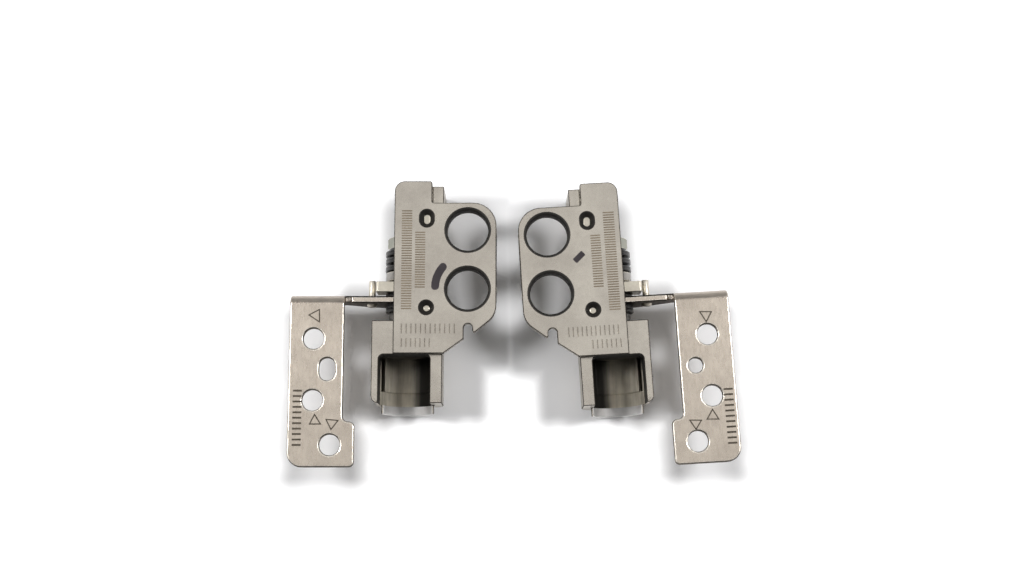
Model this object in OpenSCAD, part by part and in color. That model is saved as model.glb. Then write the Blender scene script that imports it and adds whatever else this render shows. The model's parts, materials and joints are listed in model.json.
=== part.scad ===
// Pair of friction hinges for a laptop lid, a mirrored left and right one, lying open on a table.
// Each hinge has its own frame: the pivot is the Y line, X runs towards the mounting plate and
// Z is up. Y starts at the face of the cast block that holds the shaft.

/* [Pair] */
// Distance between the two pivots at the block faces
pair_spread = 29.46; // [29:0.1:40]
// How much nearer the right hinge lies than the left one
pair_stagger = 0.15; // [0:0.05:1]
// Turn of the right hinge on the table, in degrees
pair_turn = 3.45; // [0:0.05:8]

/* [Shaft] */
// Diameter of the shaft that the washers and the bracket sit on
shaft_d = 3.6; // [3.3:0.1:4]
// Distance between the two flats of the shaft
shaft_flat = 2.9; // [2.5:0.1:3.1]
// Diameter of the shaft's press seat in the block
seat_d = 4.2; // [4:0.1:4.6]
// Length of the press seat
seat_len = 4; // [3:0.1:4.4]
// Diameter of the shaft's collar against the block
collar_d = 5.7; // [5:0.1:6.4]
// Length of the collar
collar_len = 1.5; // [1.2:0.1:2.2]
// Diameter of the threaded end
thread_d = 3; // [2.5:0.1:3.2]
// Length of thread past the nut
thread_past = 0.7; // [0.3:0.1:1.5]

/* [Washer stack] */
// Outer diameter of the friction washers
friction_d = 6.7; // [6:0.1:6.8]
// Thickness of each friction washer at the block side
friction_t = 0.55; // [0.4:0.05:0.8]
// Thickness of the friction washer on the far side of the bracket
outer_friction_t = 0.6; // [0.4:0.05:1]
// Thickness of the stop plate
stop_t = 1.5; // [1:0.05:2]
// Diameter of the two thin washers
thin_d = 5.8; // [5.2:0.1:6.4]
// Thickness of the two thin washers
thin_t = 0.3; // [0.2:0.05:0.5]
// Diameter of the seat washer under the springs
seat_washer_d = 6.7; // [6:0.1:6.8]
// Thickness of the seat washer
seat_washer_t = 1.3; // [0.8:0.1:1.6]
// Number of disc springs
spring_count = 6; // [2:2:8]
// Outer diameter of the disc springs
spring_d = 6.9; // [6.7:0.1:7.2]
// Sheet thickness of a disc spring
spring_t = 0.35; // [0.25:0.05:0.45]
// Cone height of a disc spring
spring_cone = 0.21; // [0.1:0.01:0.3]
// Width across the flats of the nut
nut_af = 5.5; // [5:0.1:5.6]
// Height of the nut
nut_h = 1.6; // [1:0.1:2]

/* [Block] */
// Half the width of the block
block_half = 5.06; // [4.9:0.05:5.6]
// Length of the block along the pivot
block_len = 11.85; // [11.5:0.1:14]
// Wall of the block that holds the shaft
shaft_wall = 4.9; // [4.6:0.1:5.3]
// Radius of the block's two lower edges
block_round = 3; // [1.5:0.1:3.2]
// Radius of the outer upright edge at the open end
end_round = 1; // [0.4:0.1:1.1]
// Thickness of the wall on the bracket's side of the window
outer_wall = 1.04; // [0.8:0.02:1.3]
// Thickness of the wall on the plate's side of the window
inner_wall = 1.74; // [1.5:0.02:1.86]
// Radius of the window's two corners
window_round = 0.7; // [0.3:0.1:1]
// Radius of the cable trough
trough_r = 3.15; // [2.8:0.05:3.2]
// How far the trough widens at its open end
trough_step = 0.25; // [0.1:0.05:0.4]
// Length of the wider end of the trough
trough_end = 1.95; // [1.2:0.05:3]
// Width of the slot beside the trough
slot_w = 0.5; // [0.3:0.05:0.55]
// Distance from the slot to the window's back and side
slot_inset = 0.13; // [0.1:0.01:1]
// Floor left under the slot
slot_floor = 1.5; // [0.8:0.1:3]
// Length of the lip past the block
lip_len = 1.3; // [0.5:0.1:2]
// Thickness of the lip
lip_t = 0.4; // [0.3:0.05:0.6]

/* [Mounting plate] */
// Thickness of the plate
plate_t = 1.2; // [0.8:0.1:1.6]
// Gap between the springs and the plate over them
plate_gap = 0.1; // [0.1:0.05:0.5]
// Overhang of the plate on the bracket's side of the pivot
plate_left = 1.9; // [1:0.05:2.4]
// Far end of the plate from the block's face
plate_end = 20.15; // [19.8:0.05:22]
// Edge of the plate's narrow end from the pivot
column_right = 3.51; // [3:0.01:3.6]
// Length of the narrow end past the wide part
column_past = 3.2; // [2:0.1:4]
// Radius of the plate's far outer corner
plate_round = 1.45; // [0.5:0.05:2]
// Radius of the small corners
small_round = 0.3; // [0.1:0.05:0.5]
// Distance of the two big holes from the pivot
hole_x = 8.65; // [8.3:0.01:9]
// Distance of the nearer big hole from the block's face
hole_y = 4.38; // [4.2:0.02:5]
// Distance between the two big holes
hole_pitch = 8.55; // [8:0.05:9]
// Diameter of the two big holes
hole_d = 5.9; // [5:0.1:6.2]
// Radius of the rounded rim of the big holes
rim_round = 0.42; // [0.2:0.02:0.5]
// Width of plate outside the rim of the big holes
hole_margin = 0.75; // [0.5:0.05:1.2]
// Wall of the collar under each big hole
boss_wall = 1.1; // [0.8:0.05:1.15]
// Depth of the big holes
hole_depth = 2.35; // [1.6:0.05:2.4]
// Radius of the plate's near outer corner
hook_r = 3; // [2.4:0.1:3.4]
// Height of that corner's centre from the block's face
hook_y = 2; // [1.6:0.1:2.6]
// Angle that the corner turns through before it runs straight to the hook, in degrees
hook_turn = 51; // [40:1:56]
// Radius of the hook's tip
tip_r = 0.25; // [0.15:0.05:0.35]
// Radius of the notch inside the hook
notch_r = 0.63; // [0.4:0.01:0.8]
// Distance of the notch from the pivot
notch_x = 8.75; // [8.4:0.01:8.9]
// Place of the notch's centre below the block's face
notch_drop = 1.28; // [1:0.02:1.5]
// Place where the sloping edge leaves the notch, below the block's face
slope_high = 2.84; // [2.4:0.02:3.2]
// Width of the straight near edge from the pivot to the sloping edge
slope_x = 5.24; // [5.1:0.01:6]
// Distance of the two locating sockets from the pivot
socket_x = 2.77; // [2:0.01:3]
// Distance of the round socket from the block's face
socket_near = 1.68; // [1.4:0.02:2.4]
// Distance between the two sockets
socket_pitch = 12.98; // [12:0.02:14]
// Diameter of a socket at the top
socket_d = 2.08; // [1.6:0.02:2.4]
// Diameter of a socket at its floor
socket_floor_d = 0.96; // [0.6:0.02:1.2]
// Depth of a socket
socket_depth = 0.95; // [0.5:0.05:1]
// How much longer than wide the far socket is
socket_stretch = 0.5; // [0:0.05:1]
// Width of the rib under the plate
rib_w = 1.4; // [1:0.02:1.6]
// Gap between the springs and the rib
rib_gap = 0.3; // [0.2:0.05:0.5]
// Distance from the rib's end to the plate's end
rib_short = 0.52; // [0.2:0.02:1.5]
// Size of the gusset between the rib and the plate
gusset = 0.8; // [0.3:0.05:0.9]

/* [Display bracket] */
// Sheet thickness of the bracket
sheet_t = 0.95; // [0.6:0.05:1]
// Inside radius of the bend
bend_r = 0.45; // [0.4:0.05:0.9]
// Distance of the leaf's far edge from the pivot
leaf_far = 16.64; // [16:0.01:17]
// Width of the leaf
leaf_w = 7.74; // [7.4:0.02:8.1]
// How far the foot of the leaf is wider
foot_w = 1.7; // [1.4:0.01:2]
// Length of the leaf from the flange's outer face
leaf_len = 24.52; // [24:0.01:26]
// Length of the foot
foot_len = 6.42; // [5.5:0.02:7]
// Radius of the foot's shoulder
shoulder_r = 0.8; // [0.4:0.05:0.8]
// Radius of the leaf's far corner
leaf_round = 2.1; // [1:0.1:3]
// Radius of the foot's inner corner
foot_round = 0.7; // [0.3:0.05:1.2]
// How far the leaf lies below the plate's top
leaf_drop = 0.2; // [0:0.05:0.4]
// Gap between the closed leaf and the table
table_gap = 0.2; // [0.1:0.05:0.5]
// Diameter of the leaf's screw holes
screw_d = 2.92; // [2.4:0.02:3.2]
// Distance of the screw holes from the leaf's side edges
screw_edge = 3.45; // [2.4:0.02:4]
// Distance of the first screw hole from the flange's outer face
screw_near = 6.35; // [5:0.05:7]
// Distance between the first two screw holes
screw_pitch = 8.76; // [8:0.02:9.4]
// Distance of the foot's screw hole from the end of the leaf
foot_screw = 3.13; // [2.4:0.01:4]
// Distance of the second hole or slot from the leaf's far edge
slot_edge = 5.46; // [4.8:0.01:6]
// Distance of the second hole or slot from the flange's outer face
slot_near = 10.7; // [10:0.05:11.2]
// Width of the left leaf's slot
slot_hole_w = 2.3; // [2:0.05:2.6]
// Length of the left leaf's slot
slot_hole_len = 3.2; // [2.8:0.05:3.6]
// Diameter of the right leaf's small hole
small_hole_d = 2.1; // [1.6:0.05:2.4]
// Height of the flange under the bend
flange_h = 2.85; // [2:0.05:3]
// Width of the bend relief
relief_w = 0.8; // [0.3:0.05:0.8]
// Depth of the bend relief
relief_d = 0.3; // [0.3:0.05:0.9]
// Gap between the lug round the shaft and the plate over it
lug_gap = 0.2; // [0.15:0.05:0.5]
// Running clearance of the bracket's hole on the shaft, all round
pivot_clear = 0.04; // [0.01:0.01:0.1]
// Running clearance of the bracket on each side
side_clear = 0.02; // [0.01:0.01:0.05]

/* [Stop] */
// Distance of the stop pin from the pivot
pin_reach = 5.35; // [5.2:0.05:5.6]
// Diameter of the stop pin
pin_d = 1; // [0.7:0.05:1.1]
// Diameter of the pin's riveted shank
shank_d = 0.8; // [0.5:0.05:0.9]
// Diameter of the pin's riveted head
rivet_d = 1.6; // [1.2:0.1:1.7]
// Height of the pin's riveted head
rivet_h = 0.35; // [0.2:0.05:0.5]
// Height of the pin above the pivot when open, in degrees
pin_rise = 9.4; // [6:0.1:12]
// Chamfer on the top corner of the stop plate's ear
ear_chamfer = 0.25; // [0.1:0.05:0.4]
// How far the pin stands past the stop plate
pin_past = 0.4; // [0:0.05:0.4]
// Gap beside the stop plate that the pin passes through
stop_gap = 0.3; // [0.2:0.05:0.4]
// Turn past open at which nothing has met yet, in degrees
over_turn = 5; // [3:0.5:6]
// Gap between the stop pin's circle and the rib
sweep_gap = 0.25; // [0.15:0.05:0.5]

/* [Hidden] */
$fn = 96;
// How far a cutting body stands past the faces that it cuts
cut = 0.5;
// Gap round the shaft in the keyed washers
key_clear = 0.03;
// Gap behind the stop plate's shoulder
back_clear = 0.3;
// Width of the small chamfers
chamfer = 0.2;
// Flat ring at the rims of a disc spring
spring_land = 0.15;
// Gap between the stop pin and the shoulder past the closed end
shoulder_gap = 0.125;

spring_h = spring_t + spring_cone;
plate_under = spring_d / 2 + plate_gap;
plate_top = plate_under + plate_t;
leaf_top = plate_top - leaf_drop;
table_z = -leaf_top - table_gap;

// Places along the pivot, from the block's face outwards
friction_y = collar_len;
flange_y = friction_y + 2 * friction_t + side_clear;
flange_out = flange_y + sheet_t;
outer_friction_y = flange_out + side_clear;
stop_y = outer_friction_y + outer_friction_t;
spacer_y = stop_y + stop_t;
seat_washer_y = spacer_y + thin_t;
spring_y = seat_washer_y + seat_washer_t;
nut_washer_y = spring_y + spring_count * spring_h;
nut_y = nut_washer_y + thin_t;
shaft_end = nut_y + nut_h + thread_past;

hole_r = hole_d / 2;
rim_r = hole_r + rim_round;
plate_right = hole_x + rim_r + hole_margin;
wing_end = plate_end - column_past;
wing_round = rim_r;
boss_z = plate_top - hole_depth;
window_left = -block_half + outer_wall;
window_right = block_half - inner_wall;
open_r = trough_r + trough_step;
rib_x = spring_d / 2 + rib_gap;
pin_end = spacer_y + pin_past;
rib_y = pin_end + sweep_gap;

bend_y = flange_out - bend_r - sheet_t;
bend_z = leaf_top - bend_r - sheet_t;
leaf_near = leaf_far - leaf_w;
leaf_foot = flange_out - leaf_len;
foot_y = leaf_foot + foot_len;
lug_r = plate_under - lug_gap;
arm_top = bend_z - chamfer;
pin_x = -pin_reach * cos(pin_rise);
pin_z = pin_reach * sin(pin_rise);
stop_x = pin_reach - pin_d / 2 - stop_gap;
stop_top = plate_under - lug_gap;
shoulder_top = boss_z - back_clear;
shoulder_low = pin_reach * sin(over_turn) - pin_z + pin_d / 2 + shoulder_gap;
shoulder_x = pin_reach + pin_d / 4;

// Centres of the holes in the leaf
foot_edge = -leaf_near + foot_w;
screw_spots = [
    [-leaf_far + screw_edge, flange_out - screw_near],
    [-leaf_far + screw_edge, flange_out - screw_near - screw_pitch],
    [foot_edge - screw_edge, leaf_foot + foot_screw]
];
slot_spot = [-leaf_far + slot_edge, flange_out - slot_near];

// The hook's straight outer edge leaves the near corner at hook_start and meets the tip at hook_stop
hook_c = [plate_right - hook_r, hook_y];
hook_start = hook_c + hook_r * [cos(hook_turn), -sin(hook_turn)];
tip_x = notch_x + notch_r + tip_r;
hook_run = (hook_start[0] - tip_r * cos(hook_turn) - tip_x) / sin(hook_turn);
hook_stop = hook_start - hook_run * [sin(hook_turn), cos(hook_turn)];
tip_y = hook_stop[1] + tip_r * sin(hook_turn);

// Size of the pair on the table, which centres it
left_reach = pair_spread / 2 + leaf_far;
right_reach = pair_spread / 2 + leaf_round
    + (leaf_far - leaf_round) * cos(pair_turn)
    - (leaf_foot + leaf_round) * sin(pair_turn);
middle_x = (right_reach - left_reach) / 2;
middle_y = (plate_end + leaf_foot) / 2;

function side_nodes(side) = concat(
    [for (part = ["base_casting", "shaft", "friction_washer_1", "friction_washer_2",
        "display_bracket", "stop_pin", "friction_washer_3", "stop_plate", "spacer_washer",
        "seat_washer", "nut_washer", "lock_nut"]) str(side, "_", part)],
    [for (i = [1 : spring_count]) str(side, "_disc_spring_", i)]
);

// Where a straight line from point p touches the lower side of a circle of radius r about the pivot
function touch_point(p, r) =
    let (turn = atan2(p[1], p[0]) + acos(r / norm(p)))
    [r * cos(turn), r * sin(turn)];

// Carries a flat outline in X and Z along the pivot
module across(from, to) {
    translate([0, to, 0])
        rotate([90, 0, 0])
            linear_extrude(to - from)
                children();
}

// Turns a body made along Z to stand along the pivot
module along(from) {
    translate([0, from, 0])
        rotate([-90, 0, 0])
            children();
}

// The sharp bit outside a rounded corner at (x, y), whose outside lies towards (side_x, side_y)
module corner_waste(x, y, r, side_x, side_y, past = cut) {
    translate([x - side_x * r, y - side_y * r])
        difference() {
            polygon([
                [0, 0],
                [side_x * (r + past), 0],
                [side_x * (r + past), side_y * (r + past)],
                [0, side_y * (r + past)]
            ]);
            circle(r = r);
        }
}

// The lower half of a circle, for the trough
module half_disc(r) {
    intersection() {
        circle(r = r);
        translate([-r, -r])
            square([2 * r, r]);
    }
}

// The shaft's flat-sided section
module key_outline(clear = 0) {
    intersection() {
        circle(d = shaft_d + 2 * clear);
        square([shaft_d + 2 * clear + cut, shaft_flat + 2 * clear], center = true);
    }
}

module keyed_washer(from, d, t) {
    across(from, from + t)
        difference() {
            circle(d = d);
            key_outline(key_clear);
        }
}

module plate_outline() {
    difference() {
        union() {
            polygon([
                [-plate_left, -shaft_wall],
                [slope_x, -shaft_wall],
                [notch_x - notch_r, -slope_high],
                [notch_x - notch_r, hook_y],
                [plate_right, hook_y],
                [plate_right, wing_end],
                [column_right, wing_end],
                [column_right, plate_end],
                [-plate_left, plate_end]
            ]);
            translate(hook_c)
                circle(r = hook_r);
            polygon([
                [notch_x - notch_r, hook_y],
                [notch_x - notch_r, -notch_drop],
                [tip_x - tip_r, -notch_drop],
                [tip_x - tip_r, tip_y],
                [tip_x, tip_y],
                hook_stop,
                hook_start,
                hook_c
            ]);
            translate([tip_x, tip_y])
                circle(r = tip_r);
            corner_waste(column_right, wing_end, small_round, -1, -1, 0);
        }
        corner_waste(-plate_left, plate_end, plate_round, -1, 1);
        corner_waste(column_right, plate_end, small_round, 1, 1);
        corner_waste(plate_right, wing_end, wing_round, 1, 1);
        translate([notch_x, -notch_drop])
            circle(r = notch_r);
        translate([notch_x - notch_r, -slope_high - cut])
            square([2 * notch_r, slope_high - notch_drop + cut]);
    }
}

// The bore of a big hole with its rounded rim, to be cut away
module big_hole() {
    translate([0, 0, boss_z - cut])
        cylinder(h = hole_depth + 2 * cut, r = hole_r);
    translate([0, 0, plate_top])
        rotate_extrude()
            difference() {
                translate([hole_r - rim_round / 2, -rim_round])
                    square([1.5 * rim_round, rim_round + cut]);
                translate([rim_r, -rim_round])
                    circle(r = rim_round);
                translate([rim_r, 0])
                    square([rim_round, cut]);
            }
}

// A conical blind socket, longer along the pivot by stretch, to be cut away
module socket(stretch) {
    for (shift = [-stretch / 2, stretch / 2])
        translate([0, shift, plate_top - socket_depth])
            cylinder(h = socket_depth, d1 = socket_floor_d, d2 = socket_d);
    if (stretch > 0)
        across(-stretch / 2, stretch / 2)
            polygon([
                [-socket_floor_d / 2, plate_top - socket_depth],
                [socket_floor_d / 2, plate_top - socket_depth],
                [socket_d / 2, plate_top],
                [-socket_d / 2, plate_top]
            ]);
}

// The block round the shaft's seat and the trough, before its hollows are cut
module block_body() {
    difference() {
        across(-block_len, 0)
            difference() {
                translate([-block_half, table_z])
                    square([2 * block_half, plate_under - table_z]);
                corner_waste(-block_half, table_z, block_round, -1, -1);
                corner_waste(block_half, table_z, block_round, 1, -1);
            }
        translate([0, 0, table_z - cut])
            linear_extrude(plate_under - table_z + 2 * cut)
                corner_waste(-block_half, -block_len, end_round, -1, -1);
    }
}

// The window over the trough, the trough and the slot beside it, to be cut away
module block_hollow() {
    linear_extrude(plate_under + cut)
        difference() {
            translate([window_left, -block_len - cut])
                square([window_right - window_left, block_len - shaft_wall + cut]);
            corner_waste(window_left, -shaft_wall, window_round, -1, 1);
            corner_waste(window_right, -shaft_wall, window_round, 1, 1);
        }
    across(-block_len - cut, -shaft_wall)
        half_disc(trough_r);
    across(-block_len - cut, -block_len + trough_end)
        half_disc(open_r);
    translate([window_left + slot_inset, -block_len + trough_end, table_z + slot_floor])
        cube([slot_w, block_len - trough_end - shaft_wall - slot_inset, -table_z - slot_floor + cut]);
    along(-seat_len)
        cylinder(h = seat_len + cut, d = seat_d);
}

module rib() {
    across(rib_y, plate_end - rib_short)
        polygon([
            [rib_x, table_z],
            [rib_x + rib_w, table_z],
            [rib_x + rib_w, plate_under],
            [rib_x - gusset, plate_under],
            [rib_x, plate_under - gusset]
        ]);
}

module base_casting() {
    color("#b3aca0")
        difference() {
            union() {
                translate([0, 0, plate_under])
                    linear_extrude(plate_t)
                        plate_outline();
                for (y = [hole_y, hole_y + hole_pitch])
                    translate([hole_x, y, boss_z])
                        cylinder(h = hole_depth - plate_t, r = hole_r + boss_wall);
                block_body();
                rib();
                across(-block_len - lip_len, -block_len)
                    half_disc(open_r + lip_t);
            }
            block_hollow();
            across(-block_len - lip_len - cut, -block_len)
                half_disc(open_r);
            for (y = [hole_y, hole_y + hole_pitch])
                translate([hole_x, y, 0])
                    big_hole();
            translate([socket_x, socket_near, 0])
                socket(0);
            translate([socket_x, socket_near + socket_pitch, 0])
                socket(socket_stretch);
        }
}

module shaft() {
    color("#8d887f") {
        along(-seat_len)
            cylinder(h = seat_len, d = seat_d);
        along(0)
            cylinder(h = collar_len, d = collar_d);
        across(friction_y, nut_y)
            key_outline();
        along(nut_y)
            cylinder(h = nut_h + thread_past - chamfer, d = thread_d);
        along(shaft_end - chamfer)
            cylinder(h = chamfer, d1 = thread_d, d2 = thread_d - 2 * chamfer);
    }
}

module friction_washer_1() {
    color("#2a2927")
        keyed_washer(friction_y, friction_d, friction_t);
}

module friction_washer_2() {
    color("#33312e")
        keyed_washer(friction_y + friction_t, friction_d, friction_t);
}

module friction_washer_3() {
    color("#2a2927")
        keyed_washer(outer_friction_y, friction_d, outer_friction_t);
}

// The fixed plate that the stop pin meets: an ear past open, and a shoulder past closed
module stop_plate() {
    color("#cfc8bb")
        across(stop_y, spacer_y)
            difference() {
                union() {
                    circle(d = seat_washer_d);
                    polygon([
                        [-stop_x, -chamfer],
                        [shoulder_x - back_clear, shoulder_low],
                        [shoulder_x, shoulder_low],
                        [shoulder_x, shoulder_top],
                        [rib_x, shoulder_top],
                        [rib_x, stop_top],
                        [-stop_x + ear_chamfer, stop_top],
                        [-stop_x, stop_top - ear_chamfer]
                    ]);
                }
                key_outline(key_clear);
            }
}

module spacer_washer() {
    color("#33312e")
        keyed_washer(spacer_y, thin_d, thin_t);
}

module seat_washer() {
    color("#b9b3a8")
        keyed_washer(seat_washer_y, seat_washer_d, seat_washer_t);
}

// A shallow cone of spring sheet. Odd ones open away from the block and even ones towards it,
// so that each two meet rim to rim.
module disc_spring(i) {
    r_in = shaft_d / 2 + key_clear;
    r_out = spring_d / 2;
    color("#1f1e1d")
        along(spring_y + (i - 0.5) * spring_h)
            mirror([0, 0, i % 2 == 0 ? 1 : 0])
                translate([0, 0, -spring_h / 2])
                    rotate_extrude()
                        polygon([
                            [r_in, 0],
                            [r_in + spring_land, 0],
                            [r_out, spring_cone],
                            [r_out, spring_h],
                            [r_out - spring_land, spring_h],
                            [r_in, spring_t]
                        ]);
}

module nut_washer() {
    color("#33312e")
        keyed_washer(nut_washer_y, thin_d, thin_t);
}

// Hexagon nut with its corners turned off at both faces
module lock_nut() {
    corner = nut_af / sqrt(3);
    color("#a8a298")
        along(nut_y)
            difference() {
                intersection() {
                    cylinder(h = nut_h, r = corner, $fn = 6);
                    union() {
                        cylinder(h = chamfer, r1 = corner - chamfer, r2 = corner);
                        translate([0, 0, chamfer])
                            cylinder(h = nut_h - 2 * chamfer, r = corner + cut);
                        translate([0, 0, nut_h - chamfer])
                            cylinder(h = chamfer, r1 = corner, r2 = corner - chamfer);
                    }
                }
                translate([0, 0, -cut])
                    cylinder(h = nut_h + 2 * cut, d = thread_d);
            }
}

module leaf_outline() {
    difference() {
        union() {
            translate([-leaf_far, leaf_foot])
                square([leaf_w, bend_y - leaf_foot]);
            translate([-leaf_near - cut, leaf_foot])
                square([foot_w + cut, foot_len]);
            corner_waste(-leaf_near, foot_y, shoulder_r, -1, -1, 0);
        }
        corner_waste(-leaf_far, leaf_foot, leaf_round, -1, -1);
        corner_waste(foot_edge, leaf_foot, foot_round, 1, -1);
        corner_waste(foot_edge, foot_y, shoulder_r, 1, 1);
    }
}

// The upright flange, the arm and the lug round the shaft, as one outline in X and Z
module flange_outline() {
    flange_low = bend_z - flange_h;
    elbow = [-pin_reach, -shoulder_top + chamfer];
    lug_touch = touch_point(elbow, lug_r);
    circle(r = lug_r);
    difference() {
        polygon([
            [-leaf_far, bend_z],
            [-leaf_near, bend_z],
            [-leaf_near, bend_z - relief_d],
            [-leaf_near + relief_w, bend_z - relief_d],
            [-leaf_near + relief_w, arm_top],
            [0, arm_top],
            [0, 0],
            lug_touch,
            elbow,
            [foot_edge, flange_low - pin_d],
            [-leaf_near, flange_low],
            [-leaf_far, flange_low]
        ]);
        corner_waste(-leaf_far, flange_low, foot_round, -1, -1);
    }
}

// The quarter turn of sheet, with a short straight leg into the leaf and into the flange
module bend_outline() {
    intersection() {
        difference() {
            bend_round(bend_r + sheet_t);
            bend_round(bend_r);
        }
        translate([-cut, -cut])
            square(bend_r + sheet_t + cut);
    }
}

module bend_round(r) {
    circle(r = r);
    for (low = [[-2 * r, -r], [-r, -2 * r], [-2 * r, -2 * r]])
        translate(low)
            square(2 * r);
}

// The bent sheet bracket that the lid is screwed to
module display_bracket(slotted) {
    color("#b8ad9c")
        difference() {
            union() {
                translate([0, 0, leaf_top - sheet_t])
                    linear_extrude(sheet_t)
                        leaf_outline();
                translate([-leaf_far, bend_y, bend_z])
                    rotate([90, 0, 90])
                        linear_extrude(leaf_w)
                            bend_outline();
                across(flange_y, flange_out)
                    flange_outline();
            }
            for (spot = screw_spots)
                leaf_hole(spot)
                    cylinder(h = sheet_t + 2 * cut, d = screw_d);
            leaf_hole(slot_spot)
                if (slotted) {
                    slot_reach = (slot_hole_len - slot_hole_w) / 2;
                    for (shift = [-slot_reach, slot_reach])
                        translate([0, shift, 0])
                            cylinder(h = sheet_t + 2 * cut, d = slot_hole_w);
                    translate([-slot_hole_w / 2, -slot_reach, 0])
                        cube([slot_hole_w, 2 * slot_reach, sheet_t + 2 * cut]);
                } else {
                    cylinder(h = sheet_t + 2 * cut, d = small_hole_d);
                }
            along(flange_y - cut)
                cylinder(h = sheet_t + 2 * cut, d = shaft_d + 2 * pivot_clear);
            translate([pin_x, 0, pin_z])
                along(flange_y - cut)
                    cylinder(h = sheet_t + 2 * cut, d = shank_d);
        }
}

module leaf_hole(spot) {
    translate([spot[0], spot[1], leaf_top - sheet_t - cut])
        children();
}

module stop_pin() {
    color("#d9d3c6")
        translate([pin_x, 0, pin_z]) {
            along(flange_y - rivet_h)
                cylinder(h = rivet_h, d1 = rivet_d - 2 * chamfer, d2 = rivet_d);
            along(flange_y)
                cylinder(h = sheet_t, d = shank_d);
            along(flange_out)
                cylinder(h = pin_end - flange_out, d = pin_d);
        }
}

// Stands a hinge on the table, where the pair's middle is the origin
module on_left() {
    translate([-pair_spread / 2 - middle_x, -middle_y, -table_z])
        children();
}

module on_right() {
    translate([pair_spread / 2 - middle_x, -middle_y - pair_stagger, -table_z])
        rotate([0, 0, pair_turn])
            mirror([1, 0, 0])
                children();
}

on_left() base_casting();  // left_base_casting
on_left() shaft();  // left_shaft
on_left() friction_washer_1();  // left_friction_washer_1
on_left() friction_washer_2();  // left_friction_washer_2
on_left() display_bracket(true);  // left_display_bracket
on_left() stop_pin();  // left_stop_pin
on_left() friction_washer_3();  // left_friction_washer_3
on_left() stop_plate();  // left_stop_plate
on_left() spacer_washer();  // left_spacer_washer
on_left() seat_washer();  // left_seat_washer
on_left() nut_washer();  // left_nut_washer
on_left() lock_nut();  // left_lock_nut
for (i = [1 : spring_count])
    on_left() disc_spring(i);
on_right() base_casting();  // right_base_casting
on_right() shaft();  // right_shaft
on_right() friction_washer_1();  // right_friction_washer_1
on_right() friction_washer_2();  // right_friction_washer_2
on_right() display_bracket(false);  // right_display_bracket
on_right() stop_pin();  // right_stop_pin
on_right() friction_washer_3();  // right_friction_washer_3
on_right() stop_plate();  // right_stop_plate
on_right() spacer_washer();  // right_spacer_washer
on_right() seat_washer();  // right_seat_washer
on_right() nut_washer();  // right_nut_washer
on_right() lock_nut();  // right_lock_nut
for (i = [1 : spring_count])
    on_right() disc_spring(i);
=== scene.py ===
import bpy
import bmesh
import json
import numpy as np
from math import radians
from mathutils import Matrix, Vector
from mathutils.bvhtree import BVHTree


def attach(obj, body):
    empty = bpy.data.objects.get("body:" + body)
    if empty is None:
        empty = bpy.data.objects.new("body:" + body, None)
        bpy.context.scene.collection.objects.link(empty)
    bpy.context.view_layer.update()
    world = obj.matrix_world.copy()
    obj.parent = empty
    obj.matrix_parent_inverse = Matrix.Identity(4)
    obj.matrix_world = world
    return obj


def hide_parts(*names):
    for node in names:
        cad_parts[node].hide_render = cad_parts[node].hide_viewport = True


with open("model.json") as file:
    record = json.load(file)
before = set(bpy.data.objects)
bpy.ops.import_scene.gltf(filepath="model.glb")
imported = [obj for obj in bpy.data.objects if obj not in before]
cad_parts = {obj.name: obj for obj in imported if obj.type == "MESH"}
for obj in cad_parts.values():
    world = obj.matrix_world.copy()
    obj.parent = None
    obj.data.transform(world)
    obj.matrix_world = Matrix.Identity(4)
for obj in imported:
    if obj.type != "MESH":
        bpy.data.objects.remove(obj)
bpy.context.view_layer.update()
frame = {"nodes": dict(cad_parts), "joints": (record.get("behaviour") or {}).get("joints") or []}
nodes = frame["nodes"]
scene = bpy.context.scene
scene.view_settings.view_transform = "Standard"
print("frame loaded:", len(nodes), "nodes")

# each hinge has its own axes: x towards the plate, y along the pivot, z up, in millimetres
perMetre = 1000
jointAlong = 3.2  # the joint's point lies this far past the block's face
hinges = {}
for joint in frame["joints"]:
    side = joint["name"].split("_")[0]
    flip = 1 if side == "left" else -1
    alongPivot = -flip * np.array(joint["axis"])
    towardsPlate = flip * np.array([alongPivot[1], -alongPivot[0], 0])
    pivot = np.array(joint["pos_m"]) * perMetre - alongPivot * jointAlong
    axes = np.array([towardsPlate, alongPivot, [0, 0, 1]])
    hinges[side] = {"pivot": pivot, "axes": axes, "flip": flip}


def toRow(side, points):
    # hinge axes, mm -> row frame, mm
    hinge = hinges[side]
    return np.asarray(points, float) @ hinge["axes"] + hinge["pivot"]


def toHinge(side, points):
    # row frame, mm -> hinge axes, mm
    hinge = hinges[side]
    return (np.asarray(points, float) - hinge["pivot"]) @ hinge["axes"].T


def addNode(tree, kind, inputs=None, **settings):
    node = tree.nodes.new(kind)
    for name, value in settings.items():
        setattr(node, name, value)
    for name, value in (inputs or {}).items():
        if isinstance(value, bpy.types.NodeSocket):
            tree.links.new(value, node.inputs[name])
        else:
            node.inputs[name].default_value = value
    return node


def mathOf(tree, operation, first, second):
    return addNode(tree, "ShaderNodeMath", {0: first, 1: second}, operation=operation).outputs[0]


def vectorOf(tree, operation, first, second=(0, 0, 0)):
    # a length or a dot product gives a number, the rest a vector
    node = addNode(tree, "ShaderNodeVectorMath", {0: first, 1: second}, operation=operation)
    return node.outputs["Value" if operation in ("LENGTH", "DOT_PRODUCT") else "Vector"]


def smoothStep(tree, value, start, end, first, last):
    return addNode(tree, "ShaderNodeMapRange", {"Value": value, "From Min": start, "From Max": end,
        "To Min": first, "To Max": last}, interpolation_type="SMOOTHSTEP").outputs["Result"]


colourA, colourB, colourOut = 6, 7, 2  # a colour Mix node's sockets


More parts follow.
